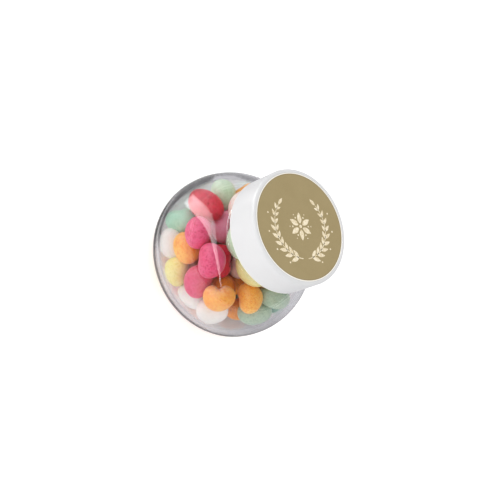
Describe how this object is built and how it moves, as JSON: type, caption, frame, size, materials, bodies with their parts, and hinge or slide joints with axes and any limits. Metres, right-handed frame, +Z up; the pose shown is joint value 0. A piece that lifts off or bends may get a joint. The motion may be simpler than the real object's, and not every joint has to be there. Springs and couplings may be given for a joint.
{
  "type": "glass jar of jelly beans",
  "caption": "Small round glass jar filled with jelly beans in mixed pastel and bright colours, closed by a white screw cap with a round printed label.",
  "frame": {"origin": "on the table, under the middle of the jar's base", "axes": "+Z up along the jar's axis, from the base to the cap; X and Y are level and equivalent, as the jar is turned about +Z"},
  "size_m": [0.062, 0.062, 0.06],
  "materials": {
    "jar_glass": "clear soda-lime glass, polished, about 2 mm thick",
    "cap": "white satin plastic",
    "label": "khaki printed label with a cream leaf ornament and a thin cream edge",
    "jelly_beans": "waxy sugar shells in rose, crimson, orange, yellow, mint, green and white, some speckled"
  },
  "bodies": {
    "root": {"jar_glass": "jar_glass", "cap": "cap", "label": "label", "jelly_beans": "jelly_beans"}
  },
  "joints": []
}
